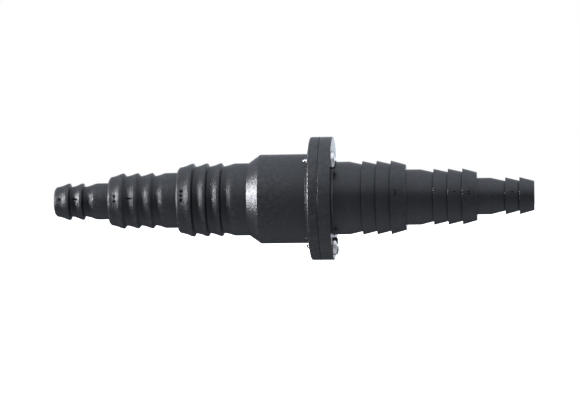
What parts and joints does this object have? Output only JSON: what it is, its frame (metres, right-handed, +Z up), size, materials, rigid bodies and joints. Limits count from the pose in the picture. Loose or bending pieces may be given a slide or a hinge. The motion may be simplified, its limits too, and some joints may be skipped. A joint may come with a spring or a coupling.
{
  "type": "in-line non-return valve",
  "caption": "Plastic in-line non-return valve for hoses, with a stepped barbed tail at each end and a screwed flange round a spring-loaded poppet.",
  "frame": {"origin": "on the valve's axis, half-way between the two tail ends", "axes": "+X along the axis towards the inlet tail, against the flow; -Y towards the side that the picture shows; +Z up in the picture"},
  "size_m": [0.1764, 0.0452, 0.0452],
  "materials": {
    "black_nylon": "satin, with a fine moulded grain",
    "white_acetal": "smooth moulded",
    "black_rubber": "matt",
    "stainless_steel": "bright, formed"
  },
  "bodies": {
    "valve_housing": {"outlet_body": "black_nylon", "inlet_body": "black_nylon", "flange_o_ring": "black_rubber", "flange_screw_1": "stainless_steel", "flange_screw_2": "stainless_steel", "flange_screw_3": "stainless_steel", "stem_guide": "white_acetal", "valve_spring": "stainless_steel"},
    "poppet_assembly": {"valve_poppet": "white_acetal", "poppet_seal": "black_rubber", "seal_washer": "stainless_steel", "seal_screw": "stainless_steel"}
  },
  "joints": [
    {"name": "poppet_slide", "type": "slide", "parent": "valve_housing", "child": "poppet_assembly", "axis": [-1, 0, 0], "range_m": [0, 0.005], "stiffness_N_per_m": 190, "springref_m": -0.003, "deforming": ["valve_spring"]}
  ]
}
